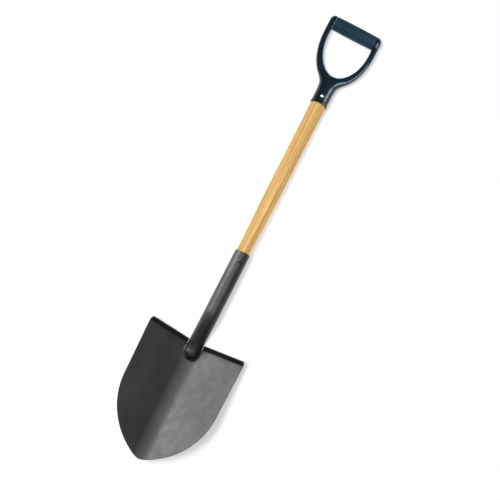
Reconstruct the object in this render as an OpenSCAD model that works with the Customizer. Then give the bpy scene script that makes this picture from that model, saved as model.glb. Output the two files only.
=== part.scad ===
// Round point shovel with a cranked tube socket, a wooden shaft and a D-grip.
// It lies face up as it rests on flat ground: on the blade's heel and the grip.
// +X points along the shovel towards the tip, +Z up, and the origin is the middle
// of its footprint on the ground.

/* [Blade] */
// Width of the blade at its shoulders
blade_w = 210; // [160:1:260]
// Length of the blade's face from the step bend to the tip
blade_l = 266; // [220:1:330]
// Distance from the step bend to the shoulders, where the sides start to curve in
shoulder_x = 119; // [80:1:150]
// How much wider each side is at the steps than at the shoulders
heel_flare = 4.5; // [0:0.5:12]
// Thickness of the blade sheet
blade_t = 2; // [1.5:0.1:3]
// Slope of each side of the dish
dish_angle = 18.4; // [12:0.1:24]
// Radius of the face along the bottom of the dish
valley_r = 56; // [40:1:58]
// Radius of the blade's bow along its length
bow_r = 1800; // [1200:50:3000]
// Angle between the blade at its heel and the shaft
lift = 10.8; // [6:0.1:16]
// How far the blade's face lies below the shaft's centre line at the heel
heel_drop = 34.2; // [28:0.1:44]

/* [Steps] */
// How far each foot step is bent forward
step_angle = 62; // [40:1:90]
// Inside radius of the step bend
step_bend_r = 3.5; // [2:0.1:6]
// Flat width of each step past the bend
step_flat = 9; // [5:0.5:16]
// Clear space between the socket and the inner end of each step
step_clear = 0.6; // [0.4:0.1:5]
// Radius of the outer free corner of each step
step_corner_r = 3; // [1:0.1:4]

/* [Socket] */
// Outer diameter of the socket tube
socket_od = 34; // [29:0.5:41]
// Wall of the socket tube
socket_wall = 1.8; // [1.2:0.1:2.5]
// Length of the socket from the step bend to its rim
socket_l = 222; // [170:1:280]
// Distance from the step bend to the start of the crank
crank_l = 80; // [60:1:110]
// Length of the toe on the blade's face
toe_l = 28; // [26:1:55]
// Width of the pressed toe
toe_w = 34; // [34:0.5:42]
// Height of the toe above the face where its round nose starts
toe_h = 12; // [8:0.5:18]
// Width of the open seam along the back of the tube
seam_w = 1.2; // [0.6:0.1:2]

/* [Welds] */
// Leg of the weld bead round the toe
toe_bead = 2.8; // [2:0.1:5]
// Leg of the weld bead at the heel
heel_bead = 1.5; // [1:0.1:1.7]

/* [Shaft] */
// Bare length of the shaft between socket and grip
bare_l = 373; // [250:1:900]
// Diameter of the shaft at the grip's rim
shaft_d = 35.6; // [30:0.1:40]
// Diameter of the shaft at the end of its lower taper
taper_d = 34.4; // [30:0.1:38]
// Length of the lower taper above the socket's rim
taper_l = 150; // [80:1:220]
// Depth of the shaft inside the steel socket
socket_seat = 134; // [90:1:140]
// Radial clearance of the shaft in the steel socket
socket_fit = 0.2; // [0.1:0.05:0.5]
// Diameter of the shaft's tenon inside the grip
tenon_d = 30; // [24:0.1:32]
// Length of the tenon inside the grip
tenon_l = 45; // [35:1:50]
// Radial clearance of the tenon in the grip
tenon_fit = 0.2; // [0.1:0.05:0.5]

/* [Grip] */
// Length of the grip from its rim to the top of the bar
grip_l = 206; // [185:1:230]
// Width of the grip across its arms
grip_w = 127; // [116:1:145]
// Outer diameter of the grip's shaft socket
grip_od = 38; // [36.5:0.5:44]
// Diameter of the grip's rim
rim_d = 39.4; // [38:0.1:46]
// Distance from the rim to the bottom of the hand opening
opening_x = 74; // [66:1:84]
// Width of each arm seen from the front
arm_w = 13.2; // [10:0.1:16]
// Depth of each arm from front to back
arm_t = 20; // [14:0.5:26]
// Diameter of the sleeve on the bar
bar_d = 32.4; // [28:0.1:39]
// How much thinner the sleeve is at its ends than in the middle
sleeve_crown = 0.8; // [0:0.1:2]
// Diameter of the moulded core inside the sleeve
core_d = 20; // [14:0.5:24]
// Radial clearance of the sleeve on its core
core_fit = 0.1; // [0.05:0.05:0.3]
// Clearance at each end of the sleeve
sleeve_gap = 0.2; // [0.1:0.1:0.6]
// Radius of the grip's top corners
corner_r = 11.5; // [8:0.5:13]
// Straight length of each arm below the bar's middle
arm_straight = 30; // [22:1:36]
// Height of the web between the shaft socket and the hand opening
web_h = 21.5; // [18:0.5:24]
// Length of the grip's rim
rim_l = 5; // [3:0.5:8]

/* [Fasteners] */
// Shank diameter of both rivets
rivet_d = 4.8; // [4:0.1:6]
// Head diameter of both rivets
rivet_head_d = 8.6; // [7:0.1:11]
// Height of a rivet head at its middle
rivet_head_h = 1.8; // [1.2:0.1:2.5]
// Radial clearance of a rivet in its hole
rivet_fit = 0.1; // [0.05:0.05:0.3]
// Distance of the grip's rivet from the grip's rim
grip_rivet_x = 16; // [12:1:30]
// Distance of the socket's rivet from the socket's rim
socket_rivet_x = 22; // [14:1:40]
// Height of a rivet tail at its middle
rivet_tail_h = 1.2; // [0.8:0.1:1.8]
// Outer diameter of the washer on the back of the grip
washer_d = 11; // [9:0.5:14]
// Thickness of the washer
washer_t = 1; // [0.8:0.1:1.5]
// Radial clearance of the washer in its recess
washer_fit = 0.4; // [0.2:0.1:1]
// Depth of the recess for the washer
recess_d = 1.8; // [1.2:0.1:2.2]

/* [Hidden] */

$fn = 64;
BOW_FN = 720;         // fine enough for the large bow radius
MORE = 1;             // how far a cutter runs past what it cuts
TOUCH = 0.1;          // gap left between two pieces that are welded together
STEP_THINNING = 0.1;  // how much the sheet thins on each side in the step's bend
STEP_LEAD = 1.5;      // how far a step runs on inside the blade's sheet
LAP = 0.15;           // how far the shaped end of the socket stands over its plain tube
CHAMFER = 2;          // at both ends of the shaft
RIM_RUN = 3;          // length of the slope from the grip's rim down to its socket
HUB_WALL = 4;         // solid between the bore for the tenon and the hub
HUB_SPREAD = 13;      // half the distance between the two swells of the hub

// Blade plan
heel_half = blade_w / 2 + heel_flare;
tip_run = blade_l - shoulder_x;
side_r = (tip_run * tip_run + blade_w * blade_w / 4) / blade_w;
bow_angle = asin(blade_l / bow_r) + 1;
flank_l = heel_half / cos(dish_angle) + MORE;
step_from = max(socket_od, toe_w) / 2 + step_clear;

// Grip, measured from its rim
bar_x = grip_l - bar_d / 2;
arm_bend_x = bar_x - arm_straight;
arm_in_half = grip_w / 2 - arm_w;
arm_line_half = (grip_w - arm_w) / 2;
arm_line_x = opening_x - web_h / 2;
tenon_bore_l = tenon_l + MORE;

// Places along the shaft's centre line, from the step bend towards the grip
grip_x = socket_l + bare_l;

// Tilt that brings the blade's heel and the grip's bar down to the same ground
heel_low_x = blade_t * sin(lift);
heel_low_z = -heel_drop - blade_t * cos(lift);
bar_from_heel = grip_x + bar_x + heel_low_x;
rest_tilt = acos(bar_d / 2 / norm([bar_from_heel, heel_low_z])) - atan2(bar_from_heel, -heel_low_z);

// A point of the shaft's frame [x, z] turned into the resting frame
function rested(x, z) = [x * cos(rest_tilt) - z * sin(rest_tilt), x * sin(rest_tilt) + z * cos(rest_tilt)];
tip_bow = bow_r - sqrt(bow_r * bow_r - blade_l * blade_l);
tip_low = tip_bow - blade_t;
tip_x = blade_l * cos(lift) - tip_low * sin(lift);
tip_z = -heel_drop + blade_l * sin(lift) + tip_low * cos(lift);
front_x = rested(tip_x, tip_z)[0];
back_x = rested(-grip_x - bar_x, 0)[0] - bar_d / 2;
ground_z = rested(heel_low_x, heel_low_z)[1];

// Height of the blade's face above the bottom of its dish, at y across the blade
function dish(y) = abs(y) < valley_r * sin(dish_angle)
    ? valley_r - sqrt(valley_r * valley_r - y * y)
    : valley_r * (1 - cos(dish_angle)) + (abs(y) - valley_r * sin(dish_angle)) * tan(dish_angle);

// Height of the bow along the blade, at x from the step bend
function bow(x) = bow_r - sqrt(bow_r * bow_r - x * x);

// Height of the face in the shaft's frame; the second pass allows for the lean of the face
function face_b(x, y) = bow(x) + dish(y);
function face_z(x, y) = let (
        z1 = face_b(x / cos(lift), y),
        z2 = face_b((x + z1 * sin(lift)) / cos(lift), y),
        xb = (x + z2 * sin(lift)) / cos(lift)
    ) -heel_drop + xb * sin(lift) + z2 * cos(lift);

// Smooth step from 0 to 1 as t goes from 0 to 1
function ease(t) = let (c = min(max(t, 0), 1)) c * c * (3 - 2 * c);

// Everything is drawn in the shaft's frame: its centre line is the X axis and the
// step bend is at x = 0. This lays it down on the ground.
module at_rest()
    translate([-(front_x + back_x) / 2, 0, -ground_z])
        rotate([0, -rest_tilt, 0])
            children();

// From the blade's frame, where X runs along the face from the step bend
module on_blade()
    translate([0, 0, -heel_drop])
        rotate([0, -lift, 0])
            children();

// From the grip's frame, where X runs from the grip's rim towards its bar
module on_grip()
    translate([-grip_x, 0, 0])
        rotate([0, 0, 180])
            children();

// Outline of a bent strip of sheet: its face has radius r round [0, r] from angle
// from to angle to, with a straight run before and after the bend
ARC_STEPS = 16;
function bend_line(r, rise, from, to, before, after) = let (
        arc = [for (i = [0:ARC_STEPS])
            let (a = from + (to - from) * i / ARC_STEPS)
            [(r + rise) * sin(a), r - (r + rise) * cos(a)]]
    ) concat(
        [arc[0] - before * [cos(from), sin(from)]],
        arc,
        [arc[ARC_STEPS] + after * [cos(to), sin(to)]]
    );
function turned_round(list) = [for (i = [len(list) - 1:-1:0]) list[i]];
module bent_strip(r, t, from, to, before, after)
    polygon(concat(
        bend_line(r, 0, from, to, before, after),
        turned_round(bend_line(r, t, from, to, before, after))
    ));

// Outline of the blade seen square to its face
module blade_outline() {
    polygon([
        [0, -heel_half], [shoulder_x, -blade_w / 2],
        [shoulder_x, blade_w / 2], [0, heel_half]
    ]);
    intersection() {
        point_outline();
        translate([shoulder_x, -blade_w])
            square([blade_l, 2 * blade_w]);
    }
}

// The point lies between two side curves, one the mirror image of the other
module point_outline()
    intersection() {
        translate([shoulder_x, blade_w / 2 - side_r])
            circle(side_r, $fn = 256);
        translate([shoulder_x, side_r - blade_w / 2])
            circle(side_r, $fn = 256);
    }

// Dished sheet, bowed along its length, before it is cut to the outline
module dished_sheet()
    translate([0, 0, bow_r])
        rotate([90, 90, 0])
            rotate_extrude(angle = bow_angle, $fn = BOW_FN)
                translate([bow_r, 0])
                    rotate(90)
                        bent_strip(valley_r, blade_t, -dish_angle, dish_angle, flank_l, flank_l);

// Foot step on the +Y side: bent forward along the top of that side of the dish. The
// sheet thins a little in the bend, and the lead runs on inside the blade's sheet.
// The step leans inwards as it rises, and its inner end is cut off beside the socket.
module step() {
    flank_y = valley_r * sin(dish_angle);
    outer = (heel_half - flank_y) / cos(dish_angle);
    difference() {
        translate([0, 0, valley_r])
            rotate([dish_angle, 0, 0])
                translate([0, 0, -valley_r])
                    rotate([90, 0, 180])
                        difference() {
                            linear_extrude(outer)
                                translate([0, -STEP_THINNING])
                                    bent_strip(
                                        step_bend_r + STEP_THINNING, blade_t - 2 * STEP_THINNING,
                                        0, step_angle, STEP_LEAD, step_flat
                                    );
                            step_corner(outer);
                        }
        translate([-heel_half, step_from - heel_half, -heel_half])
            cube([2 * heel_half, heel_half, 2 * heel_half]);
    }
}

// Rounds the outer free corner of a step
module step_corner(len)
    translate([0, step_bend_r, 0])
        rotate([0, 0, step_angle])
            translate([step_flat - step_corner_r, 0, len - step_corner_r])
                rotate([90, 0, 0])
                    difference() {
                        translate([0, 0, -MORE])
                            cube([2 * step_corner_r, 2 * step_corner_r, step_bend_r + blade_t + 2 * MORE]);
                        translate([0, 0, -2 * MORE])
                            cylinder(r = step_corner_r, h = step_bend_r + blade_t + 4 * MORE);
                    }

module blade() {
    color([0.33, 0.33, 0.34])
        at_rest()
            on_blade() {
                intersection() {
                    dished_sheet();
                    translate([0, 0, -blade_t - MORE])
                        linear_extrude(2 * valley_r + blade_w)
                            blade_outline();
                }
                step();
                mirror([0, 1, 0])
                    step();
            }
}

// One piece of polyhedron from rings of points; closed by a fan at each end
module loft(rings) {
    n = len(rings[0]);
    last = len(rings) - 1;
    polyhedron(
        points = [for (ring = rings) each ring],
        faces = [
            [for (i = [0:n - 1]) i],
            [for (i = [n - 1:-1:0]) last * n + i],
            for (k = [0:last - 1], i = [0:n - 1])
                let (a = k * n + i, b = k * n + (i + 1) % n)
                    each [[a, a + n, b], [b, a + n, b + n]]
        ],
        convexity = 6
    );
}

// Lower end of the socket, from the start of the crank to the tip of its toe. Each
// of these lines is a height or a half width at x; the toe is pressed onto the face.
plain_r = socket_od / 2 + LAP;
nose_r = toe_w / 2;
nose_x = toe_l - nose_r;
toe_side = dish(toe_w / 2);
function nose(x) = x < nose_x ? 1 : sqrt(max(0, 1 - pow((x - nose_x) / nose_r, 2)));
function face_rise(x) = x > 0 ? face_z(x, 0) + heel_drop : 0;
function crank(x) = ease((x + crank_l) / crank_l);
function tube_half(x) = plain_r + (toe_w / 2 - plain_r) * crank(x);
function tube_mid(x) = crank(x) * (toe_side - heel_drop) + face_rise(x);
function tube_low(x) = -plain_r - crank(x) * (heel_drop - plain_r) + face_rise(x);
nose_crest = tube_mid(nose_x) + toe_h;
function tube_crest(x) = plain_r
    + (nose_crest - plain_r) * ease((x + crank_l) / (crank_l + nose_x));
function crest_up(x) = x < nose_x ? tube_crest(x) - tube_mid(x) : toe_h * nose(x);

// One ring of the lower end at x, drawn in by a wall. It is kept clear of the face,
// and behind the step bend it stays level with the heel.
CLAMP_X = 3;        // the ring follows the face from this far behind the step bend
TUBE_SIDES = 40;
function tube_ring(x, wall) = [
    for (i = [0:TUBE_SIDES - 1])
        let (
            a = i * 360 / TUBE_SIDES,
            y = (tube_half(x) * nose(x) - wall) * cos(a),
            up = crest_up(x) - wall,
            down = (tube_mid(x) - tube_low(x)) * nose(x) - wall,
            z = tube_mid(x) + (sin(a) > 0 ? up : down) * sin(a)
        )
        [x, y, x > -CLAMP_X ? max(z, face_z(max(x, 0), y) + TOUCH + wall) : z]
];
CRANK_STEPS = 14;
NOSE_STEPS = 7;
NOSE_END = 84;      // degrees round the nose at which its last ring stands
HOLLOW_END = 35;    // the same for the last ring of the hollow inside
function tube_stations(end_angle) = [
    -crank_l - 2 * MORE,
    for (i = [0:CRANK_STEPS]) -crank_l + (crank_l + nose_x) * i / CRANK_STEPS,
    for (i = [1:NOSE_STEPS]) nose_x + nose_r * sin(end_angle * i / NOSE_STEPS)
];

module socket() {
    bore_r = socket_od / 2 - socket_wall;
    color([0.30, 0.30, 0.31])
        at_rest()
            difference() {
                union() {
                    translate([-socket_l, 0, 0])
                        rotate([0, 90, 0])
                            cylinder(d = socket_od, h = socket_l - crank_l, $fn = 96);
                    loft([for (x = tube_stations(NOSE_END)) tube_ring(x, 0)]);
                }
                translate([-socket_l - MORE, 0, 0])
                    rotate([0, 90, 0])
                        cylinder(r = bore_r, h = socket_l - crank_l + MORE, $fn = 96);
                loft([for (x = tube_stations(HOLLOW_END)) tube_ring(x, socket_wall)]);
                translate([-socket_l - MORE, -seam_w / 2, -socket_od])
                    cube([socket_l - crank_l - 2 * MORE, seam_w, socket_od]);
                rivet_hole(-socket_l + socket_rivet_x);
            }
}

// Hole for a rivet, front to back through the centre line
module rivet_hole(x)
    translate([x, 0, -socket_od])
        cylinder(r = rivet_d / 2 + rivet_fit, h = 2 * socket_od);

// Section of a weld bead in a square corner, as parts of its leg
BEAD_SECTION = [[0, 0], [1, 0], [0.72, 0.42], [0.42, 0.72], [0, 1]];

// One ring of a weld bead in the corner between a wall at p, whose outward
// direction is n, and the blade's face
function bead_ring(p, n, leg) = [
    for (c = BEAD_SECTION)
        let (q = p + n * (TOUCH + leg * c[0]))
        [q[0], q[1], face_z(q[0], q[1]) + TOUCH + leg * c[1]]
];

// The bead starts at the step bend, runs round the toe and back
BEAD_START = 1.2;
BEAD_STEPS = 9;
module toe_weld() {
    side = [for (i = [0:BEAD_STEPS - 1]) BEAD_START + (nose_x - BEAD_START) * i / BEAD_STEPS];
    color([0.45, 0.45, 0.46])
        at_rest()
            loft([
                for (x = side) bead_ring([x, tube_half(x)], [0, 1], toe_bead),
                for (q = [90:-10:-90])
                    bead_ring([nose_x + nose_r * cos(q), nose_r * sin(q)], [cos(q), sin(q)], toe_bead),
                for (i = [BEAD_STEPS - 1:-1:0]) bead_ring([side[i], -tube_half(side[i])], [0, -1], toe_bead)
            ]);
}

// Bead across the heel, in the corner between the sheet's edge and the tube above it
HEEL_INSET = 0.1;   // the bead's top lies this far below the face
HEEL_FULL = 0.7;    // how far its slope bulges, as a part of its leg
HEEL_STEPS = 6;
heel_bead_half = 0.4 * toe_w;
function heel_ring(y) = let (
        edge_x = -dish(y) * sin(lift) - TOUCH,
        top_z = face_z(0, y) - HEEL_INSET
    ) [
        [edge_x, y, top_z],
        [edge_x, y, top_z - heel_bead],
        [edge_x - heel_bead * HEEL_FULL, y, top_z - heel_bead * HEEL_FULL],
        [edge_x - heel_bead, y, top_z]
    ];

module heel_weld()
    color([0.30, 0.30, 0.31])
        at_rest()
            loft([for (i = [-HEEL_STEPS:HEEL_STEPS]) heel_ring(heel_bead_half * i / HEEL_STEPS)]);

// Turned along the centre line; x grows from the lower seat towards the grip
module shaft() {
    seat_r = socket_od / 2 - socket_wall - socket_fit;
    foot = socket_l - socket_seat;
    color([0.80, 0.62, 0.33])
        at_rest()
            difference() {
                rotate([0, -90, 0])
                    rotate_extrude($fn = 96)
                        polygon([
                            [0, foot], [seat_r - CHAMFER, foot], [seat_r, foot + CHAMFER],
                            [seat_r, socket_l], [taper_d / 2, socket_l + taper_l],
                            [shaft_d / 2, grip_x], [tenon_d / 2, grip_x],
                            [tenon_d / 2, grip_x + tenon_l - CHAMFER],
                            [tenon_d / 2 - CHAMFER, grip_x + tenon_l], [0, grip_x + tenon_l]
                        ]);
                rivet_hole(-socket_l + socket_rivet_x);
                rivet_hole(-grip_x - grip_rivet_x);
            }
}

// Domed rivet head standing on z = 0
module rivet_head(h) {
    dome_r = (rivet_head_d * rivet_head_d / 4 + h * h) / (2 * h);
    rotate_extrude()
        intersection() {
            translate([0, h - dome_r])
                circle(dome_r, $fn = 128);
            square([rivet_head_d, h]);
        }
}

// Rivet along Z: its head stands on top at z = high, its tail under z = low
module rivet(high, low) {
    translate([0, 0, high])
        rivet_head(rivet_head_h);
    translate([0, 0, low])
        cylinder(d = rivet_d, h = high - low);
    translate([0, 0, low])
        mirror([0, 0, 1])
            rivet_head(rivet_tail_h);
}

module socket_rivet()
    color([0.25, 0.25, 0.26])
        at_rest()
            translate([-socket_l + socket_rivet_x, 0, 0])
                rivet(socket_od / 2, -socket_od / 2);

// Arms: one sweep from the bar down one side, round the hub and up the other side
ARM_SIDES = 20;
ARM_POWER = 0.8;    // below 1, the section is fuller than an ellipse
function arm_ring(p, n, half_w) = [
    for (i = [0:ARM_SIDES - 1])
        let (
            a = i * 360 / ARM_SIDES,
            c = cos(a),
            s = sin(a),
            w = half_w * sign(c) * pow(abs(c), ARM_POWER),
            h = arm_t / 2 * sign(s) * pow(abs(s), ARM_POWER)
        )
        [p[0] + n[0] * w, p[1] + n[1] * w, h]
];
function arm_point(q) = [arm_bend_x - (arm_bend_x - arm_line_x) * cos(q), arm_line_half * sin(q)];
function arm_out(q) = let (
        v = [-arm_line_half * cos(q), (arm_bend_x - arm_line_x) * sin(q)]
    ) v / norm(v);
function arm_half_w(q) = arm_w / 2 + (web_h - arm_w) / 2 * pow(cos(q), 3);

module arms()
    loft([
        arm_ring([bar_x, -arm_line_half], [0, -1], arm_w / 2),
        for (q = [-90:6:90]) arm_ring(arm_point(q), arm_out(q), arm_half_w(q)),
        arm_ring([bar_x, arm_line_half], [0, 1], arm_w / 2)
    ]);

// Rounded end of the bar on the +Y side, turned round the bar's own axis
module bar_end()
    translate([bar_x, arm_in_half, 0])
        rotate([-90, 0, 0])
            rotate_extrude($fn = 96) {
                square([bar_d / 2 - corner_r, arm_w]);
                square([bar_d / 2, arm_w - corner_r]);
                translate([bar_d / 2 - corner_r, arm_w - corner_r])
                    intersection() {
                        circle(corner_r);
                        square(corner_r);
                    }
            }

// Shaft socket of the yoke, with its rim, up to where the hub starts
module yoke_socket()
    rotate([0, 90, 0])
        rotate_extrude($fn = 96)
            polygon([
                [0, 0], [rim_d / 2, 0], [rim_d / 2, rim_l], [grip_od / 2, rim_l + RIM_RUN],
                [grip_od / 2, tenon_bore_l + HUB_WALL], [0, tenon_bore_l + HUB_WALL]
            ]);

// Hub: the socket spreads into the bottom of the two arms
module hub()
    hull() {
        translate([tenon_bore_l, 0, 0])
            rotate([0, 90, 0])
                cylinder(d = grip_od, h = HUB_WALL, $fn = 48);
        for (side = [-1, 1])
            translate([opening_x - web_h / 2, side * HUB_SPREAD, 0])
                sphere(d = arm_t, $fn = 32);
    }

module grip_yoke() {
    color([0.09, 0.13, 0.16])
        at_rest()
            on_grip()
                difference() {
                    union() {
                        yoke_socket();
                        hub();
                        arms();
                        bar_end();
                        mirror([0, 1, 0])
                            bar_end();
                        translate([bar_x, 0, 0])
                            rotate([90, 0, 0])
                                cylinder(d = core_d, h = 2 * arm_in_half + MORE, center = true);
                    }
                    translate([-MORE, 0, 0])
                        rotate([0, 90, 0])
                            cylinder(r = tenon_d / 2 + tenon_fit, h = tenon_bore_l + MORE, $fn = 96);
                    rivet_hole(grip_rivet_x);
                    translate([grip_rivet_x, 0, -grip_od])
                        cylinder(d = washer_d + 2 * washer_fit, h = grip_od / 2 + recess_d);
                }
}

SLEEVE_STEPS = 12;
module grip_sleeve() {
    len = 2 * (arm_in_half - sleeve_gap);
    color([0.13, 0.20, 0.25])
        at_rest()
            on_grip()
                translate([bar_x, 0, 0])
                    rotate([90, 0, 0])
                        translate([0, 0, -len / 2])
                            rotate_extrude($fn = 96)
                                polygon([
                                    [core_d / 2 + core_fit, 0],
                                    for (i = [0:SLEEVE_STEPS]) [
                                        bar_d / 2 - sleeve_crown * pow(2 * i / SLEEVE_STEPS - 1, 2),
                                        len * i / SLEEVE_STEPS
                                    ],
                                    [core_d / 2 + core_fit, len]
                                ]);
}

module grip_rivet()
    color([0.80, 0.81, 0.82])
        at_rest()
            translate([-grip_x - grip_rivet_x, 0, 0])
                rivet(grip_od / 2, -grip_od / 2 + recess_d - washer_t);

module grip_washer()
    color([0.75, 0.76, 0.77])
        at_rest()
            translate([-grip_x - grip_rivet_x, 0, -grip_od / 2 + recess_d - washer_t])
                difference() {
                    cylinder(d = washer_d, h = washer_t);
                    translate([0, 0, -MORE])
                        cylinder(r = rivet_d / 2 + rivet_fit, h = washer_t + 2 * MORE);
                }

blade();
socket();
toe_weld();
heel_weld();
shaft();
socket_rivet();
grip_yoke();
grip_sleeve();
grip_rivet();
grip_washer();
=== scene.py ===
import math

import bmesh
import bpy
import numpy as np
from mathutils import Matrix, Vector, noise


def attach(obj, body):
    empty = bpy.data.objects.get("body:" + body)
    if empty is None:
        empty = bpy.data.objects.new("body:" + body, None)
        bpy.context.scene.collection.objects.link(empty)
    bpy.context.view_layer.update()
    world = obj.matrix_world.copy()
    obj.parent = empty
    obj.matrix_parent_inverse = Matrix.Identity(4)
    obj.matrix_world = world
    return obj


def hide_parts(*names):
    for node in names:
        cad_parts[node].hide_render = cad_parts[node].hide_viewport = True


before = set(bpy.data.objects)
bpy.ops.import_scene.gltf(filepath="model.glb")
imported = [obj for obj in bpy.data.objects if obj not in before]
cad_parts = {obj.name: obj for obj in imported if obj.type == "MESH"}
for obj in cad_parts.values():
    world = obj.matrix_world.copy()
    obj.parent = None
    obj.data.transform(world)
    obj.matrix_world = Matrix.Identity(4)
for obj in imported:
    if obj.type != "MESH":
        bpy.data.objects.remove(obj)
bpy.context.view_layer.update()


# ---------------------------------------------------------------- the blade
# One piece of 2 mm spring steel, pressed to a shallow trough and bowed a little
# along its length. Its top edge is turned forward on each side to make the two
# foot steps. It is stoved with a dark grey enamel, thinnest along its edges.

# The shovel is drawn in millimetres with the shaft's centre line along X and the
# step bend at x = 0, and then laid down on the ground on its heel and its grip.
MM = 0.001                      # a millimetre in metres
LEAN = math.radians(1.45616)    # of the shaft, as the shovel lies
STEP_BEND = Vector((0.271855, 0.0, 0.036143))
LAID_DOWN = Matrix.Translation(STEP_BEND) @ Matrix.Rotation(-LEAN, 4, "Y")

LIFT = math.radians(10.8)       # blade against shaft
HEEL_DROP = 34.2                # face below the shaft's centre line at the heel
BLADE_L = 266.0
SHOULDER_X = 119.0              # from the step bend
HALF_W = 104.95                 # at the shoulders
HEEL_FLARE = 4.5                # how much wider each side is at the steps
SHEET = 2.0
DISH = math.radians(18.4)       # lean of the straight flanks
VALLEY_R = 56.0                 # round of the trough between them
BOW_R = 1800.0                  # bow along the blade
VALLEY_Y = VALLEY_R * math.sin(DISH)
TIP_RUN = BLADE_L - SHOULDER_X
SIDE_R = (TIP_RUN ** 2 + HALF_W ** 2) / (2 * HALF_W)


def dish_height(y):
    """Height of the face above the bottom of the trough."""
    a = np.abs(y)
    curved = VALLEY_R - np.sqrt(np.maximum(VALLEY_R ** 2 - np.minimum(a, VALLEY_Y) ** 2, 0))
    return curved + np.maximum(a - VALLEY_Y, 0) * math.tan(DISH)


def dish_slope(y):
    """Lean of the face across the blade, in radians."""
    return np.arcsin(np.clip(y, -VALLEY_Y, VALLEY_Y) / VALLEY_R)


def face_and_normal(x, y):
    """Points of the pressed face and the way each one faces, in the blade's own frame."""
    h = dish_height(y)
    turn = np.arcsin(x / (BOW_R - h))
    point = np.stack([x, y, BOW_R - (BOW_R - h) * np.cos(turn)], -1)
    lean = dish_slope(y)
    fall = np.cos(lean)
    normal = np.stack([-np.sin(turn) * fall, -np.sin(lean), np.cos(turn) * fall], -1)
    return point, normal


def blade_to_shaft(p):
    """From the blade's frame, X along its face from the step bend, to the shaft's."""
    c, s = math.cos(LIFT), math.sin(LIFT)
    x = p[..., 0] * c - p[..., 2] * s
    z = p[..., 0] * s + p[..., 2] * c - HEEL_DROP
    return np.stack([x, p[..., 1], z], -1)


def make_piece(name, points, faces, material, node, finish_slot, sharp=40):
    """A finished piece from points in millimetres; it stands for one node of the frame."""
    mesh = bpy.data.meshes.new(name)
    mesh.from_pydata([tuple(MM * v for v in p) for p in points], [], faces)
    bm = bmesh.new()
    bm.from_mesh(mesh)
    bmesh.ops.remove_doubles(bm, verts=bm.verts, dist=1e-7)
    bmesh.ops.recalc_face_normals(bm, faces=bm.faces)
    bm.to_mesh(mesh)
    bm.free()
    mesh.transform(LAID_DOWN)
    mesh.shade_smooth()
    mesh.set_sharp_from_angle(angle=math.radians(sharp))
    piece = bpy.data.objects.new(name, mesh)
    bpy.context.collection.objects.link(piece)
    mesh.materials.append(material)
    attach(piece, "root")
    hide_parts(node)
    return piece


def round_edges(piece, width, segments=2, angle=40):
    """Break the edges sharper than angle by width millimetres."""
    bevel = piece.modifiers.new("broken edges", "BEVEL")
    bevel.width = MM * width
    bevel.segments = segments
    bevel.limit_method = "ANGLE"
    bevel.angle_limit = math.radians(angle)
    bevel.harden_normals = True


def start_material(name, **fixed):
    """New material. Returns it with its tree, its shader and the place on the piece in metres."""
    material = bpy.data.materials.new(name)
    material.use_nodes = True
    tree = material.node_tree
    shader = tree.nodes["Principled BSDF"]
    for key, value in fixed.items():
        shader.inputs[key.replace("_", " ")].default_value = value
    return material, tree, shader, tree.nodes.new("ShaderNodeTexCoord").outputs["Object"]


def mottle(tree, place, size, detail=3.0, stretch=(1, 1, 1), rough=0.5, lean=0.0):
    """Noise whose blots are about size millimetres across, drawn out by stretch."""
    move = tree.nodes.new("ShaderNodeMapping")
    move.vector_type = "TEXTURE"
    move.inputs["Rotation"].default_value = (0, lean, 0)
    move.inputs["Scale"].default_value = [MM * size * s for s in stretch]
    tree.links.new(place, move.inputs["Vector"])
    blots = tree.nodes.new("ShaderNodeTexNoise")
    blots.inputs["Scale"].default_value = 1.0
    blots.inputs["Detail"].default_value = detail
    blots.inputs["Roughness"].default_value = rough
    tree.links.new(move.outputs["Vector"], blots.inputs["Vector"])
    return blots.outputs["Fac"]


def graded(tree, value, low, high, out_low, out_high):
    """Value from low to high turned into out_low to out_high, and held outside."""
    node = tree.nodes.new("ShaderNodeMapRange")
    node.inputs["From Min"].default_value = low
    node.inputs["From Max"].default_value = high
    node.inputs["To Min"].default_value = out_low
    node.inputs["To Max"].default_value = out_high
    tree.links.new(value, node.inputs["Value"])
    return node.outputs["Result"]


def blended(tree, share, first, second):
    """Colour between first and second by the socket share; each is a colour or a socket."""
    node = tree.nodes.new("ShaderNodeMix")
    node.data_type = "RGBA"
    tree.links.new(share, node.inputs["Factor"])
    colour_sockets = [entry for entry in node.inputs if entry.type == "RGBA"]
    for entry, colour in zip(colour_sockets, (first, second)):
        if hasattr(colour, "links"):
            tree.links.new(colour, entry)
        else:
            entry.default_value = (*colour, 1)
    return next(way_out for way_out in node.outputs if way_out.type == "RGBA")


def raised(tree, shader, *layers):
    """Bumps on the surface: each layer is (height socket, depth in millimetres)."""
    normal = None
    for height, depth in layers:
        node = tree.nodes.new("ShaderNodeBump")
        node.inputs["Strength"].default_value = 1.0
        node.inputs["Distance"].default_value = MM * depth
        tree.links.new(height, node.inputs["Height"])
        if normal:
            tree.links.new(normal, node.inputs["Normal"])
        normal = node.outputs["Normal"]
    tree.links.new(normal, shader.inputs["Normal"])


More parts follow.
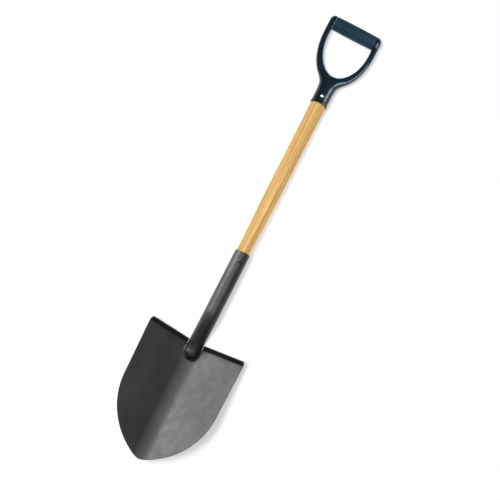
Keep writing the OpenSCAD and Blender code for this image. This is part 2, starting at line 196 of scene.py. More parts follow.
def stoved_enamel(name, dark, light, gloss=(0.36, 0.48), edge=0.16):
    """Dark grey enamel: faint clouds, fine peel, and a paler line where an edge has rubbed."""
    material, tree, shader, place = start_material(name, Metallic=0.35)
    clouds = mottle(tree, place, 55, detail=4, stretch=(1.6, 1, 1))
    specks = mottle(tree, place, 1.6, detail=2)
    base = blended(tree, graded(tree, clouds, 0.35, 0.68, 0, 1), dark, light)
    base = blended(tree, graded(tree, specks, 0.62, 0.72, 0, 0.35), base, [1.9 * c for c in light])
    bend = tree.nodes.new("ShaderNodeNewGeometry").outputs["Pointiness"]
    rubbed = tree.nodes.new("ShaderNodeMath")
    rubbed.operation = "MULTIPLY"
    tree.links.new(graded(tree, bend, 0.54, 0.62, 0, 1), rubbed.inputs[0])
    patches = mottle(tree, place, 9, detail=5)
    tree.links.new(graded(tree, patches, 0.42, 0.6, 0.15, 1), rubbed.inputs[1])
    base = blended(tree, rubbed.outputs[0], base, (edge, edge, edge * 1.02))
    tree.links.new(base, shader.inputs["Base Color"])
    polish = mottle(tree, place, 14, detail=4)
    tree.links.new(graded(tree, polish, 0.3, 0.7, *gloss), shader.inputs["Roughness"])
    waves = mottle(tree, place, 34, detail=1)
    peel = mottle(tree, place, 1.5, detail=2)
    raised(tree, shader, (waves, 0.5), (peel, 0.035))
    return material


def press_blade():
    """Face and back of the sheet as two nets of points, with the turned steps as part of them."""
    turn = math.radians(62)     # of the step against the face
    bend_r = 3.5
    flat = 9.0                  # width of the step beyond its bend
    corner = 3.0                # round of its outer corner
    step_end = 17.7             # inner end of each step, from the middle
    end_cut = 1.6               # how much narrower it is at that end
    end_cut_l = 2.5             # and over what length
    straighten_l = 14.0         # length over which that end is brought upright
    heel_w = HALF_W + HEEL_FLARE

    # Columns of points across the heel, closer where the step's corners are
    out = heel_w - np.array([0, 0.25, 0.8, 1.7, 3.0, 5.0])
    side = np.concatenate([out, np.linspace(out[-1], step_end, 42)[1:]])
    side = np.concatenate([side, step_end - np.array([0.8, 2.2])])
    middle = np.linspace(side[-1], -side[-1], 21)[1:-1]
    across = np.concatenate([side, middle, -side[::-1]])[::-1]
    n_across = len(across)

    def outline(arc):
        """Half of the outline, arc 0 at the heel and 1 at the tip."""
        flank = math.hypot(SHOULDER_X, HEEL_FLARE)
        sweep = math.asin(TIP_RUN / SIDE_R)
        s = arc * (flank + sweep * SIDE_R)
        f = np.clip(s / flank, 0, 1)
        a = np.clip((s - flank) / SIDE_R, 0, sweep)
        x = SHOULDER_X * f + SIDE_R * np.sin(a)
        y = HALF_W + HEEL_FLARE * (1 - f) - SIDE_R * (1 - np.cos(a))
        return x, y

    # The plan is a net of rows and columns stretched between four lines: the heel, the two
    # sides as far as split along the outline, and the rest of the outline round the tip
    rows = 76
    split = 0.66
    s = np.linspace(0, 1, rows) ** 0.97
    t = across / heel_w         # -1 at one side, 1 at the other
    side_x, side_y = outline(s * split)
    tip_x, tip_y = outline(1 - np.abs(t) * (1 - split))
    tip_y = tip_y * np.sign(t)
    end_x, end_y = outline(split)
    S, T = np.meshgrid(s, t, indexing="ij")
    px = S * tip_x[None, :] + side_x[:, None] - S * end_x
    py = (1 - S) * across[None, :] + S * tip_y[None, :]
    py += T * (side_y[:, None] - (1 - S) * heel_w - S * end_y)

    # The tip is rounded off by a millimetre
    tip_round = 1.1
    tip_spread = 5.0
    near = np.hypot(px - BLADE_L, py)
    px = px - tip_round * np.exp(-(near / tip_spread) ** 2)
    face, normal = face_and_normal(px, py)
    points = [face.reshape(-1, 3)]
    normals = [normal.reshape(-1, 3)]
    faces = []
    for i in range(rows - 1):
        for j in range(n_across - 1):
            a = i * n_across + j
            faces.append((a, a + 1, a + n_across + 1, a + n_across))

    # Each step grows out of the heel's row: first round its bend, then out along its flat
    bend_rows = 9
    flat_rows = 5
    count = rows * n_across
    for way in (-1, 1):
        cols = [j for j in range(n_across) if way * across[j] > step_end - 0.001]
        root, root_normal = face_and_normal(np.zeros(len(cols)), across[cols])
        from_side = heel_w - np.abs(across[cols])
        from_end = np.abs(across[cols]) - step_end
        round_off = np.maximum(corner - from_side, 0)
        reach = flat - corner + np.sqrt(np.maximum(corner ** 2 - round_off ** 2, 0))
        reach = reach - end_cut * np.maximum(1 - from_end / end_cut_l, 0) ** 2
        before = cols
        for k in range(1, bend_rows + flat_rows + 1):
            a = turn * min(k / bend_rows, 1)
            w = reach * max(k - bend_rows, 0) / flat_rows
            p = root + (bend_r * (1 - math.cos(a)) + w * math.sin(a))[:, None] * root_normal
            p[:, 0] -= bend_r * math.sin(a) + w * math.cos(a)
            # the step leans inwards as it rises, but its inner end is cut off square
            lean_in = step_end - (way * p[:, 1]).min()
            shift = np.maximum(lean_in * np.clip(1 - from_end / straighten_l, 0, 1) ** 1.5, 0)
            p += shift[:, None] * np.array([0, way * math.cos(DISH), math.sin(DISH)])
            now = list(range(count, count + len(cols)))
            points.append(p)
            normals.append(np.array([math.sin(a), 0, 0]) + math.cos(a) * root_normal)
            count += len(cols)
            for j in range(len(cols) - 1):
                faces.append((now[j], now[j + 1], before[j + 1], before[j]))
            before = now

    # The back lies one sheet behind the face, and a rim closes the gap round the edge
    front = np.concatenate(points)
    back = front - SHEET * np.concatenate(normals)
    edges = dict.fromkeys((a, b) for f in faces for a, b in zip(f, f[1:] + f[:1]))
    rim = [(b, a, a + count, b + count) for a, b in edges if (b, a) not in edges]
    back_faces = [tuple(v + count for v in f[::-1]) for f in faces]
    return blade_to_shaft(np.concatenate([front, back])), faces + back_faces + rim


blade_enamel = stoved_enamel("blade enamel", (0.040, 0.040, 0.042), (0.056, 0.056, 0.057))
blade = make_piece("blade_sheet", *press_blade(), blade_enamel, "blade", "blade_paint")
round_edges(blade, 0.45, 3)


# --------------------------------------------------------------- the socket
# Mild steel tube, 34 mm over a 1.8 mm wall, rolled up from strip so that a narrow
# seam stays open along its back. Its lower end is cranked down to the heel and
# pressed into a round toe that lies on the blade's face.
TUBE_R = 17.0
TUBE_WALL = 1.8
TUBE_L = 222.0                  # from its rim to the step bend
CRANK_L = 80.0                  # the cranked end of it
TOE_L = 28.0                    # on the blade
TOE_HALF = 17.0
TOE_H = 12.0
NOSE_X = TOE_L - TOE_HALF       # where the toe starts to round off


def face_z(x, y):
    """Height of the blade's face in the shaft's frame."""
    def height(along):
        return BOW_R - math.sqrt(BOW_R ** 2 - along ** 2) + float(dish_height(np.float64(y)))
    c, s = math.cos(LIFT), math.sin(LIFT)
    near = height(x / c)
    z = height((x + near * s) / c)
    return -HEEL_DROP + (x + z * s) / c * s + z * c


def face_rise(x):
    """How far the middle of the face has risen at x; nothing behind the step bend."""
    return face_z(x, 0) + HEEL_DROP if x > 0 else 0.0


def ease(t):
    """Smooth step from 0 to 1."""
    t = min(max(t, 0.0), 1.0)
    return t * t * (3 - 2 * t)


TOE_SIDE = float(dish_height(np.float64(TOE_HALF)))     # the face beside the toe


def tube_shape(x):
    """Half width, height of its widest line, rise above it and drop below it, at x."""
    crank = ease((x + CRANK_L) / CRANK_L)
    half = TUBE_R + (TOE_HALF - TUBE_R) * crank
    mid = crank * (TOE_SIDE - HEEL_DROP) + face_rise(x)
    low = -TUBE_R - crank * (HEEL_DROP - TUBE_R) + face_rise(x)
    nose_mid = TOE_SIDE - HEEL_DROP + face_rise(NOSE_X)
    crest = TUBE_R + (nose_mid + TOE_H - TUBE_R) * ease((x + CRANK_L) / (CRANK_L + NOSE_X))
    nose = 1.0 if x < NOSE_X else math.sqrt(max(0.0, 1 - ((x - NOSE_X) / TOE_HALF) ** 2))
    rise = crest - mid if x < NOSE_X else TOE_H * nose ** 0.9
    return half * nose, mid, rise, (mid - low) * nose


def roll_socket():
    """Outer rings from the rim to the toe, and the bore's rings back to the rim."""
    seam_half = 0.6
    toe_from = -3               # from here on the rings stop at the blade's face
    sunk = 0.3                  # and are pressed this far into it
    seam = seam_half / TUBE_R
    around = list(np.linspace(-math.pi / 2 + seam, 1.5 * math.pi - seam, 97))
    stations = [-TUBE_L, -TUBE_L + 0.6, -TUBE_L + 2] + list(np.linspace(-TUBE_L + 6, -CRANK_L - 6, 30))
    open_rows = len(stations)
    stations += list(np.linspace(-CRANK_L - 3, NOSE_X, 44))
    stations += [NOSE_X + TOE_HALF * math.sin(math.radians(a)) for a in np.linspace(5, 89.4, 20)]
    points, faces = [], []
    n = len(around)
    for x in stations:
        half, mid, rise, drop = tube_shape(x)
        for a in around:
            y = half * math.cos(a)
            z = mid + (rise if math.sin(a) > 0 else drop) * math.sin(a)
            if x > toe_from:
                z = max(z, face_z(max(x, 0.0), y) - sunk)
            points.append((x, y, z))
    # the seam stays open along the round part of the tube, and is closed beyond it
    for k in range(len(stations) - 1):
        for i in range(n if k >= open_rows - 1 else n - 1):
            a, b = k * n + i, k * n + (i + 1) % n
            faces.append((a, b, b + n, a + n))
    last = (len(stations) - 1) * n
    faces.append(tuple(last + i for i in range(n)))
    # the bore, its two edges along the seam, its mouth at the rim and its closed end
    start = len(points)
    bore = TUBE_R - TUBE_WALL
    for x in stations[:open_rows]:
        for a in around:
            points.append((x, bore * math.cos(a), bore * math.sin(a)))
    for k in range(open_rows - 1):
        for i in range(n - 1):
            a = start + k * n + i
            faces.append((a + 1, a, a + n, a + n + 1))
        for i in (0, n - 1):
            quad = (k * n + i, (k + 1) * n + i, start + (k + 1) * n + i, start + k * n + i)
            faces.append(quad if i else quad[::-1])
    for i in range(n - 1):
        faces.append((i + 1, i, start + i, start + i + 1))
    deep = start + (open_rows - 1) * n
    faces.append(tuple(deep + i for i in range(n)))
    end = (open_rows - 1) * n
    faces.append((end, end + n - 1, deep + n - 1, deep))
    return points, faces


socket_enamel = stoved_enamel("socket enamel", (0.054, 0.054, 0.056), (0.076, 0.076, 0.077),
                              gloss=(0.36, 0.46))
# Painted shade: the enamel's colour is blended towards near black along the tube's length, from nothing 65
# mm above the step bend to eight tenths 15 mm beyond it, so the toe is painted dark
tree = socket_enamel.node_tree
shader = tree.nodes["Principled BSDF"]
length = tree.nodes.new("ShaderNodeSeparateXYZ")
tree.links.new(tree.nodes["Texture Coordinate"].outputs["Object"], length.inputs[0])
TOE_SHADE_FROM = STEP_BEND.x - 65 * MM
TOE_SHADE_FULL = STEP_BEND.x + 15 * MM
# share of painted shade: none up the tube, rising to 0.80 over the toe
painted_toe_shade = graded(tree, length.outputs["X"], TOE_SHADE_FROM, TOE_SHADE_FULL, 0, 0.80)
worn_colour = shader.inputs["Base Color"].links[0].from_socket
# the enamel colour with the toe's painted shade blended in
colour_with_painted_shade = blended(tree, painted_toe_shade, worn_colour, (0.010, 0.010, 0.0105))
tree.links.new(colour_with_painted_shade, shader.inputs["Base Color"])
socket = make_piece("socket_tube", *roll_socket(), socket_enamel, "socket", "socket_paint")
round_edges(socket, 0.35, 2)


# ---------------------------------------------------------------- the welds
# A fillet run round the toe joins it to the face, laid by hand in short overlapping
# steps. A second short run closes the corner under the tube at the heel. Both were
# enamelled with the blade, and the enamel is thin on their crests.
def swept(rings, closed_ends=True):
    """Points and faces of a skin stretched over rings of equal number."""
    n = len(rings[0])
    faces = []
    for k in range(len(rings) - 1):
        for i in range(n):
            a, b = k * n + i, k * n + (i + 1) % n
            faces.append((a, b, b + n, a + n))
    if closed_ends:
        faces.append(tuple(range(n))[::-1])
        faces.append(tuple((len(rings) - 1) * n + i for i in range(n)))
    return [p for ring in rings for p in ring], faces


def ripple(s, seed):
    """Height of the overlapping steps of a hand-laid run at s millimetres along it."""
    pitch = 2.3
    step_high = 0.30
    swell_high = 0.35
    wander = noise.noise(Vector((s * 0.07, seed, 0))) * 1.4
    step = ((s + wander) / pitch) % 1.0
    swell = noise.noise(Vector((s * 0.16, seed + 5, 2)))
    return step_high * (1 - step) ** 0.6 * min(1, step * 6) + swell_high * swell


def toe_run():
    """The fillet along one side of the toe, round its nose and back along the other side."""
    leg = 2.236
    sink = 0.35                 # how far its root goes into face and tube
    side_steps = 34
    end_steps = 7               # it starts and ends thin
    walk = [(x, tube_shape(x)[0], 0.0, 1.0) for x in np.linspace(1.2, NOSE_X, side_steps)]
    for q in np.linspace(89, -89, 140):
        c, s = math.cos(math.radians(q)), math.sin(math.radians(q))
        walk.append((NOSE_X + TOE_HALF * c, TOE_HALF * s, c, s))
    walk += [(x, -y, 0.0, -1.0) for x, y, _, _ in walk[:side_steps][::-1]]
    rings = []
    s = 0.0
    for k, (x, y, nx, ny) in enumerate(walk):
        if k:
            s += math.hypot(x - walk[k - 1][0], y - walk[k - 1][1])
        ends = min(1.0, 0.35 + min(k, len(walk) - 1 - k) / end_steps)
        size = (leg + ripple(s, 1.3)) * ends
        section = [(-sink, -sink), (size, -sink), (0.99 * size, 0.12), (0.80 * size, 0.42 * size),
                   (0.60 * size, 0.62 * size), (0.38 * size, 0.84 * size),
                   (0.10 * size, 1.04 * size), (-sink, 1.02 * size)]
        ring = []
        for away, up in section:
            px = x + nx * away
            py = y + ny * away
            ring.append((px, py, face_z(px, py) + up))
        rings.append(ring)
    return swept(rings)


def heel_run():
    """The short run in the corner under the tube, across the back of the heel."""
    half_l = 14.4
    leg = 1.35
    below_face = 0.25
    steps = 60
    end_steps = 4
    rings = []
    for k, y in enumerate(np.linspace(-half_l, half_l, steps)):
        size = leg + 0.5 * ripple(y + 20, 7.1) * min(1, min(k, steps - 1 - k) / end_steps)
        top = face_z(0, y) - below_face
        edge = -float(dish_height(np.float64(y))) * math.sin(LIFT)
        rings.append([(edge + 0.3, y, top), (edge + 0.3, y, top - size), (edge - 0.15, y, top - size),
                      (edge - 0.72 * size, y, top - 0.72 * size), (edge - size, y, top - 0.1)])
    return swept(rings)


weld_enamel = stoved_enamel("weld enamel", (0.034, 0.034, 0.035), (0.056, 0.056, 0.057),
                            gloss=(0.32, 0.44), edge=0.18)
toe_weld = make_piece("toe_weld_run", *toe_run(), weld_enamel, "toe_weld", "weld_paint", sharp=60)
heel_weld = make_piece("heel_weld_run", *heel_run(), weld_enamel, "heel_weld", "weld_paint", sharp=60)


# ---------------------------------------------------------------- the shaft
# Straight-grained ash, turned down to 30 mm where it enters the tube and swelling to
# nearly 36 mm below the grip, with a tenon of 30 mm at the top. It is driven into
# both, sanded and clear varnished.
BARE_L = 373.0
SEAT_L = 134.0                  # inside the tube
TENON_L = 45.0                  # inside the grip
SEAT_R = 15.0
GRIP_X = TUBE_L + BARE_L


def turned(profile, sides=96):
    """A body of revolution about the centre line; profile is (distance from the bend, radius)."""
    rings = [[(-x, r * math.cos(2 * math.pi * i / sides), r * math.sin(2 * math.pi * i / sides))
              for i in range(sides)] for x, r in profile]
    return swept(rings)


def shaft_profile():
    """Seat, swelling body and tenon, as (distance from the bend, radius)."""
    keys_x = [0, 20, 64, 110, 152, 265, BARE_L]
    keys_r = [SEAT_R, 15.12, 15.7, 16.6, 17.15, 17.45, 17.8]
    rows = 120
    spread = 6                  # the body's radius is the mean over so many rows each way
    body = [(TUBE_L + x, float(np.interp(x, keys_x, keys_r))) for x in np.linspace(2.2, BARE_L - 1.4, rows)]
    soft = []
    for k, (x, _) in enumerate(body):
        window = [body[min(max(k + d, 0), rows - 1)][1] for d in range(-spread, spread + 1)]
        soft.append((x, sum(window) / len(window)))
    foot = TUBE_L - SEAT_L
    start = [(foot, 11.5), (foot, 13.0), (foot + 1, 14.2), (foot + 2.5, 14.95),
             (TUBE_L - 60, SEAT_R), (TUBE_L - 1, SEAT_R), (TUBE_L + 0.8, SEAT_R)]
    top = GRIP_X + TENON_L
    end = [(GRIP_X - 0.7, 17.7), (GRIP_X - 0.1, 17.2), (GRIP_X, 16.5), (GRIP_X, SEAT_R),
           (top - 2, SEAT_R), (top, 13.0), (top, 8.0)]
    return start + soft + end


ash, tree, shader, place = start_material(
    "varnished ash", Coat_Weight=0.55, Coat_Roughness=0.14, Specular_IOR_Level=0.45)
slow = mottle(tree, place, 20, detail=2, stretch=(30, 1, 1), lean=-LEAN)
bands = mottle(tree, place, 4.6, detail=4, stretch=(60, 1, 1), rough=0.62, lean=-LEAN)
fibre = mottle(tree, place, 0.7, detail=3, stretch=(60, 1, 1), rough=0.6, lean=-LEAN)
pores = mottle(tree, place, 0.45, detail=1, stretch=(26, 1, 1), lean=-LEAN)
wood = blended(tree, graded(tree, bands, 0.42, 0.58, 0, 1), (0.92, 0.61, 0.22), (0.66, 0.31, 0.046))
wood = blended(tree, graded(tree, slow, 0.35, 0.65, 0, 0.45), wood, (0.86, 0.56, 0.20))
wood = blended(tree, graded(tree, fibre, 0.5, 0.75, 0, 0.5), wood, (0.56, 0.28, 0.060))
wood = blended(tree, graded(tree, pores, 0.66, 0.74, 0, 0.65), wood, (0.30, 0.14, 0.04))
tree.links.new(wood, shader.inputs["Base Color"])
tree.links.new(graded(tree, fibre, 0.3, 0.7, 0.34, 0.5), shader.inputs["Roughness"])
raised(tree, shader, (bands, 0.06), (fibre, 0.03))
shaft = make_piece("ash_shaft", *turned(shaft_profile()), ash, "shaft", "shaft_wood", sharp=50)


# ---------------------------------------------------- the rivet in the socket
# A soft steel rivet through tube and shaft, 22 mm below the tube's rim, closed
# before the enamel went on.
def flat_ring(x, r, z, sides):
    """Ring of radius r round (x, 0) at the height z."""
    turn = [2 * math.pi * i / sides for i in range(sides)]
    return [(x + r * math.cos(a), r * math.sin(a), z) for a in turn]


def round_rivet(x, high, low, head_h, tail_h, head_r=4.3, shank_r=2.3, sides=48):
    """Rings from the top of the domed head down the shank to the domed tail."""
    tail_r = head_r * 0.95
    sunk = 0.02                 # head and tail are drawn this far into what they clamp
    dome = np.linspace(0.04, 0.96, 12)
    fullness = 2.3
    profile = [(head_r * t, high + head_h * (1 - t ** fullness)) for t in dome]
    profile += [(head_r, high + 0.10), (head_r - 0.05, high - sunk), (shank_r, high - sunk),
                (shank_r, low + sunk), (head_r * 0.94, low + sunk), (tail_r, low - 0.08)]
    profile += [(tail_r * t, low - tail_h * (1 - t ** fullness)) for t in dome[::-1]]
    return swept([flat_ring(x, r, z, sides) for r, z in profile])


SOCKET_RIVET_X = -TUBE_L + 22
TUBE_SKIN = TUBE_R - 0.05
socket_rivet = make_piece("socket_rivet", *round_rivet(SOCKET_RIVET_X, TUBE_SKIN, -TUBE_SKIN, 1.7, 1.1),
                          socket_enamel, "socket_rivet", "socket_rivet_steel", sharp=60)


# ------------------------------------------------------------- the grip's yoke
# One glossy black moulding: a socket over the shaft's tenon, a hub that spreads
# into two arms, and a core across the top that carries the sleeve. All its inside
# corners are well rounded so that it leaves the mould and does not crack.
BAR_X = 189.8                   # the bar's centre line, from the grip's rim
BAR_R = 16.2
GRIP_HALF = 63.5                # half its width
ARM_Y = 56.9                    # an arm's centre line at the bar
ARM_HALF_W = 6.6
ARM_HALF_T = 10.0
ARM_BEND_X = 159.0              # where the arms start to draw together
ARM_BOW = 95.4                  # from there to the middle of the throat
THROAT_MORE = 3.9               # the arms are wider by this at the throat
TENON_BORE_R = 15.2
GRIP_RIVET_X = 16.0


def on_grip(points):
    """From the grip's frame, X from its rim towards its bar, to the shaft's."""
    return [(-GRIP_X - x, -y, z) for x, y, z in points]


def oval_ring(cx, cy, tx, ty, half_w, half_h, power=0.8, sides=40):
    """Ring round (cx, cy) square to (tx, ty); half_w lies in the plane of the grip."""
    ring = []
    for i in range(sides):
        a = 2 * math.pi * i / sides
        c, s = math.cos(a), math.sin(a)
        w = half_w * math.copysign(abs(c) ** power, c)
        h = half_h * math.copysign(abs(s) ** power, s)
        ring.append((cx + ty * w, cy - tx * w, h))
    return ring


def lathe_x(profile, sides=96):
    """Rings round the grip's own centre line; profile is (place along it, radius)."""
    return [[(x, r * math.cos(2 * math.pi * i / sides), r * math.sin(2 * math.pi * i / sides))
             for i in range(sides)] for x, r in profile]


def lathe_y(profile, sides=96):
    """Rings round the bar's centre line; profile is (place along it, radius)."""
    return [[(BAR_X + r * math.cos(2 * math.pi * i / sides), y, r * math.sin(2 * math.pi * i / sides))
             for i in range(sides)] for y, r in profile]


def yoke_parts():
    """Rings of the socket with its rim, the arms, the hub's branches and the bar's two ends."""
    parts = [lathe_x([(0, 12), (0, 19.1), (0.6, 19.7), (4.4, 19.7), (5.4, 19.3), (6.4, 18.95), (25, 19.0),
                      (38, 19.3), (48, 18.9), (56, 16.5), (62, 12.0)])]
    # the two arms as one sweep
    sweep = [oval_ring(BAR_X, -ARM_Y, -1, 0, ARM_HALF_W, ARM_HALF_T)]
    for q in np.linspace(-90, 90, 61):
        c, s = math.cos(math.radians(q)), math.sin(math.radians(q))
        tx, ty = ARM_BOW * s, ARM_Y * c
        size = math.hypot(tx, ty)
        half_w = ARM_HALF_W + THROAT_MORE * c ** 3
        px, py = ARM_BEND_X - ARM_BOW * c, ARM_Y * s
        sweep.append(oval_ring(px, py, tx / size, ty / size, half_w, ARM_HALF_T))
    sweep.append(oval_ring(BAR_X, ARM_Y, 1, 0, ARM_HALF_W, ARM_HALF_T))
    parts.append(sweep)
    # the hub's two branches, each through these (x, y, half width, half depth)
    keys = np.array([(34, 0, 19.2, 19.2), (44, 1.5, 18.8, 18.6), (53, 5, 17.2, 17.0),
                     (61, 11, 14.2, 14.6), (68, 19, 11.0, 12.2), (75, 28, 8.2, 10.2)])
    for side in (-1, 1):
        t = np.linspace(0, len(keys) - 1, 31)
        fine = np.stack([np.interp(t, range(len(keys)), keys[:, k]) for k in range(4)], -1)
        for _ in range(6):
            fine[1:-1] = (fine[:-2] + 2 * fine[1:-1] + fine[2:]) / 4
        way = np.gradient(fine[:, :2], axis=0)
        way /= np.linalg.norm(way, axis=1)[:, None]
        parts.append([oval_ring(x, side * y, dx, side * dy, w, h, power=0.95)
                      for (x, y, w, h), (dx, dy) in zip(fine, way)])
    # the bar's rounded ends, which hide its core together with the sleeve
    corner = 11.5
    face = 50.4
    profile = [(face, 6.0), (face, BAR_R - 1.2), (face + 0.3, BAR_R - 0.4), (face + 1, BAR_R)]
    profile += [(GRIP_HALF - corner + corner * math.sin(a), BAR_R - corner + corner * math.cos(a))
                for a in np.linspace(0.02, math.pi / 2, 14)]
    profile.append((GRIP_HALF, 0.4))
    for side in (-1, 1):
        parts.append(lathe_y([(side * y, r) for y, r in profile]))
    return parts


def mould_yoke():
    """All the yoke's parts fused to one skin, with their joints melted round."""
    points = []
    faces = []
    for rings in yoke_parts():
        p, f = swept(rings)
        faces += [tuple(v + len(points) for v in face) for face in f]
        points += p
    bm = bmesh.new()
    verts = [bm.verts.new(p) for p in points]
    for face in faces:
        bm.faces.new([verts[v] for v in face])
    # each part is made to face outwards, or the fusing would treat it as a hollow
    bm.normal_update()
    bmesh.ops.recalc_face_normals(bm, faces=bm.faces)
    shell = bpy.data.meshes.new("yoke blank")
    bm.to_mesh(shell)
    bm.free()
    blank = bpy.data.objects.new("yoke blank", shell)
    bpy.context.collection.objects.link(blank)
    fuse = blank.modifiers.new("fuse", "REMESH")
    fuse.mode = "VOXEL"
    fuse.voxel_size = 0.85
    fuse.adaptivity = 0.0
    melt = blank.modifiers.new("melt", "SMOOTH")
    melt.factor = 0.5
    melt.iterations = 7
    mesh = bpy.data.meshes.new_from_object(blank.evaluated_get(bpy.context.evaluated_depsgraph_get()))
    bpy.data.objects.remove(blank)
    # the hub is dressed further than the rest
    hub_from, hub_to, hub_half = 30, 95, 48
    passes = 40
    bm = bmesh.new()
    bm.from_mesh(mesh)
    hub = [v for v in bm.verts if hub_from < v.co.x < hub_to and abs(v.co.y) < hub_half]
    for _ in range(passes):
        bmesh.ops.smooth_vert(bm, verts=hub, factor=0.5, use_axis_x=True, use_axis_y=True, use_axis_z=True)
    bm.to_mesh(mesh)
    bm.free()
    return mesh


def bored(mesh, name, material):
    """The moulding with its bore for the tenon and the washer's recess cut out, laid in place."""
    piece = bpy.data.objects.new(name, mesh)
    bpy.context.collection.objects.link(piece)
    recess_r = 5.9
    recess_z = -17.2
    bore_tool = swept(lathe_x([(-2, TENON_BORE_R), (TENON_L + 1, TENON_BORE_R)]))
    recess_tool = swept([flat_ring(GRIP_RIVET_X, recess_r, z, 48) for z in (-30, recess_z)])
    for points, faces in (bore_tool, recess_tool):
        cutter_mesh = bpy.data.meshes.new("cutter")
        cutter_mesh.from_pydata(points, [], faces)
        bm = bmesh.new()
        bm.from_mesh(cutter_mesh)
        bmesh.ops.recalc_face_normals(bm, faces=bm.faces)
        bm.to_mesh(cutter_mesh)
        bm.free()
        cutter = bpy.data.objects.new("cutter", cutter_mesh)
        bpy.context.collection.objects.link(cutter)
        cut = piece.modifiers.new("cut", "BOOLEAN")
        cut.operation = "DIFFERENCE"
        cut.solver = "EXACT"
        cut.object = cutter
        done = bpy.data.meshes.new_from_object(piece.evaluated_get(bpy.context.evaluated_depsgraph_get()))
        piece.modifiers.clear()
        piece.data = done
        bpy.data.objects.remove(cutter)
    to_shaft = Matrix(((-1, 0, 0, -GRIP_X), (0, -1, 0, 0), (0, 0, 1, 0), (0, 0, 0, 1)))
    piece.data.transform(LAID_DOWN @ Matrix.Scale(MM, 4) @ to_shaft)
    piece.data.shade_smooth()
    piece.data.set_sharp_from_angle(angle=math.radians(42))
    piece.data.materials.clear()
    piece.data.materials.append(material)
    return piece


moulding, tree, shader, place = start_material("glossy black moulding", Specular_IOR_Level=0.35)
cloud = graded(tree, mottle(tree, place, 30, detail=3), 0.35, 0.65, 0, 1)
blue_black = blended(tree, cloud, (0.0035, 0.0105, 0.014), (0.006, 0.0155, 0.020))
tree.links.new(blue_black, shader.inputs["Base Color"])
handling = mottle(tree, place, 12, detail=5, rough=0.65)
tree.links.new(graded(tree, handling, 0.35, 0.7, 0.15, 0.27), shader.inputs["Roughness"])
raised(tree, shader, (mottle(tree, place, 9, detail=1), 0.08), (mottle(tree, place, 1.1, detail=2), 0.012))
yoke = bored(mould_yoke(), "grip_moulding", moulding)
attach(yoke, "root")
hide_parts("grip_yoke")


# ------------------------------------------------------------ the grip's sleeve
# A separate tube of softer plastic over the core, slightly fuller in the middle.
# It has a fine spark-eroded texture, so it looks dull beside the glossy arms.
def sleeve_rings():
    """The sleeve's skin, out along its outside and back through its bore."""
    half = 50.1
    bore_r = 10.2
    crown = 0.75                # how much smaller its radius is at the ends
    end = [(half - 0.9, 15.42), (half - 0.25, 15.1), (half, 14.6), (half, bore_r)]
    profile = [(-y, r) for y, r in end[::-1]]
    profile += [(half * t, BAR_R - crown * t * t) for t in np.linspace(-0.97, 0.97, 60)]
    profile += end
    rings = lathe_y(profile)
    points, faces = swept(rings, closed_ends=False)
    n = len(rings[0])
    last = (len(rings) - 1) * n
    faces += [(last + i, last + (i + 1) % n, (i + 1) % n, i) for i in range(n)]
    return on_grip(points), faces


eroded, tree, shader, place = start_material("eroded sleeve", Specular_IOR_Level=0.25)
grain = mottle(tree, place, 0.55, detail=3, rough=0.7)
worn = mottle(tree, place, 16, detail=4)
worn_share = graded(tree, worn, 0.35, 0.7, 0, 1)
dull_blue = blended(tree, worn_share, (0.0055, 0.020, 0.033), (0.0095, 0.028, 0.043))
tree.links.new(dull_blue, shader.inputs["Base Color"])
tree.links.new(graded(tree, worn, 0.3, 0.7, 0.62, 0.5), shader.inputs["Roughness"])
pebbles = mottle(tree, place, 1.8, detail=2)
raised(tree, shader, (grain, 0.12), (pebbles, 0.05))
sleeve = make_piece("bar_sleeve", *sleeve_rings(), eroded, "grip_sleeve", "sleeve_plastic", sharp=50)


# ------------------------------------------------- the grip's rivet and washer
# A zinc plated rivet through moulding and tenon, 16 mm from the rim. It is closed
# over a plain washer that sits in a recess at the back.
zinc, tree, shader, place = start_material("bright zinc", Metallic=1.0)
swirl = mottle(tree, place, 0.6, detail=4, rough=0.6)
tree.links.new(blended(tree, swirl, (0.70, 0.72, 0.74), (0.88, 0.89, 0.90)), shader.inputs["Base Color"])
polish = mottle(tree, place, 2.2, detail=4)
tree.links.new(graded(tree, polish, 0.3, 0.7, 0.16, 0.34), shader.inputs["Roughness"])
raised(tree, shader, (swirl, 0.012))
RIVET_X = -GRIP_X - GRIP_RIVET_X
grip_rivet = make_piece("grip_rivet", *round_rivet(RIVET_X, 18.95, -17.95, 1.8, 1.15), zinc,
                        "grip_rivet", "bright_steel", sharp=60)


def washer_rings(x=RIVET_X, top=-17.2, sides=64):
    """A plain washer with broken edges, its upper face at the height top."""
    bottom = top - 0.98
    shape = [(2.5, top - 0.1), (2.6, top), (5.2, top), (5.5, top - 0.25),
             (5.5, top - 0.85), (5.25, bottom), (2.6, bottom), (2.5, bottom + 0.1)]
    points = [point for r, z in shape for point in flat_ring(x, r, z, sides)]
    faces = []
    for k in range(len(shape)):
        for i in range(sides):
            j, m = (i + 1) % sides, (k + 1) % len(shape)
            faces.append((k * sides + i, k * sides + j, m * sides + j, m * sides + i))
    return points, faces


washer = make_piece("grip_washer", *washer_rings(), zinc, "grip_washer", "bright_steel", sharp=50)


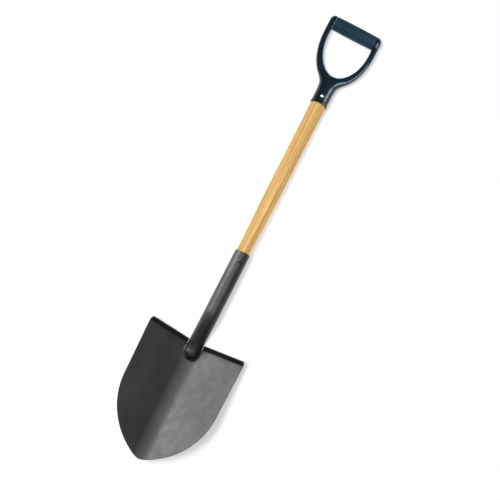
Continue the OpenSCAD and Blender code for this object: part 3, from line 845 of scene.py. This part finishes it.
# ------------------------------------------------- the studio: floor and camera
# The shovel lies on a wide sheet of white paper, which glows a little so that it
# stays white to its edges. The camera stands above it, ten degrees towards the tip.
FLOOR_HALF = 40
floor_mesh = bpy.data.meshes.new("floor")
corners = [(-FLOOR_HALF, -FLOOR_HALF, 0), (FLOOR_HALF, -FLOOR_HALF, 0),
           (FLOOR_HALF, FLOOR_HALF, 0), (-FLOOR_HALF, FLOOR_HALF, 0)]
floor_mesh.from_pydata(corners, [], [(0, 1, 2, 3)])
floor = bpy.data.objects.new("floor", floor_mesh)
bpy.context.collection.objects.link(floor)
paper, tree, shader, place = start_material("white paper", Roughness=0.9, Specular_IOR_Level=0.1)
tone = blended(tree, mottle(tree, place, 400, detail=2), (0.88, 0.88, 0.88), (0.90, 0.90, 0.90))
tree.links.new(tone, shader.inputs["Base Color"])
shader.inputs["Emission Color"].default_value = (1, 1, 1, 1)
shader.inputs["Emission Strength"].default_value = 0.53
floor_mesh.materials.append(paper)

VIEW = Vector((0.16935, -0.02649, 0.98520)).normalized()        # from the shovel to the camera
TOWARDS_GRIP = Vector((-math.cos(LEAN), 0, -math.sin(LEAN)))
along = (TOWARDS_GRIP - VIEW * TOWARDS_GRIP.dot(VIEW)).normalized()
across_view = along.cross(VIEW)
SPIN = math.radians(26.96)      # of the shaft against the frame's upright
view_up = along * math.cos(SPIN) - across_view * math.sin(SPIN)
view_right = along * math.sin(SPIN) + across_view * math.cos(SPIN)
camera = bpy.data.objects.new("camera", bpy.data.cameras.new("camera"))
bpy.context.collection.objects.link(camera)
camera.data.sensor_width = 36
camera.data.lens = 74.40
camera.data.clip_end = 50
LIFT_FRAME = 0.0017             # lowers the shovel in the frame by so much
at = Vector((0.4118, -0.0467, 2.2061)) + view_up * LIFT_FRAME
camera.matrix_world = Matrix((
    (view_right.x, view_up.x, VIEW.x, at.x),
    (view_right.y, view_up.y, VIEW.y, at.y),
    (view_right.z, view_up.z, VIEW.z, at.z),
    (0, 0, 0, 1)))
bpy.context.scene.camera = camera


# ---------------------------------------------------------- the studio: lights
# Steel, shaft and grip have flat soft boxes of their own, which light nothing else.
# Only the ceiling light, shared by floor and shaft, draws the soft shadow, and a
# faint glow comes from everywhere.
STEEL = (blade, socket, toe_weld, heel_weld, socket_rivet, grip_rivet, washer)
GRIP = (yoke, sleeve)
GRIP_MIDDLE = (-0.43, 0.0, 0.02)


def soft_light(name, way, distance, width, height, watts, pieces, goal=(0.05, 0, 0.02)):
    """Flat light on these pieces only; way is (right, up, nearer) as the camera sees it."""
    data = bpy.data.lights.new(name, "AREA")
    data.shape = "RECTANGLE"
    data.size, data.size_y, data.energy = width, height, watts
    lamp = bpy.data.objects.new(name, data)
    bpy.context.collection.objects.link(lamp)
    direction = (view_right * way[0] + view_up * way[1] + VIEW * way[2]).normalized()
    lamp.location = Vector(goal) + direction * distance
    lamp.rotation_euler = (-direction).to_track_quat("-Z", "Y").to_euler()
    lit = bpy.data.collections.new(name)
    for piece in pieces:
        lit.objects.link(piece)
    lamp.light_linking.receiver_collection = lit
    return lamp


soft_light("ceiling", (-0.22, 0.13, 1.0), 3.8, 0.9, 0.9, 78, (floor, shaft))
soft_light("window above the steel", (-0.28, 0.85, 0.48), 3.2, 2.4, 1.6, 97, STEEL)
soft_light("window left of the steel", (-0.55, 0.78, 0.34), 3.0, 1.0, 1.8, 54, STEEL)
soft_light("box over the steel", (0.20, 0.30, 1.0), 2.5, 2.0, 2.0, 23, STEEL)
soft_light("box over the shaft", (0.30, 0.10, 1.0), 2.5, 1.2, 1.2, 21, (shaft,))
soft_light("window left of the shaft", (-0.85, 0.25, 0.50), 3.0, 1.0, 2.4, 13, (shaft,))
glint = soft_light("box right of the grip", (0.80, -0.40, 0.62), 0.55, 0.50, 0.30, 5.0, GRIP,
                   goal=GRIP_MIDDLE)
glint.data.color = (0.82, 0.91, 1.0)
wash = soft_light("box over the grip", (-0.25, 0.30, 1.0), 1.6, 1.6, 1.2, 26, GRIP, goal=GRIP_MIDDLE)
wash.visible_glossy = False

world = bpy.data.worlds.new("studio")
bpy.context.scene.world = world
world.use_nodes = True
glow = world.node_tree.nodes["Background"]
glow.inputs["Color"].default_value = (0.95, 0.97, 1.0, 1)
glow.inputs["Strength"].default_value = 0.10
bpy.context.scene.view_settings.view_transform = "Standard"
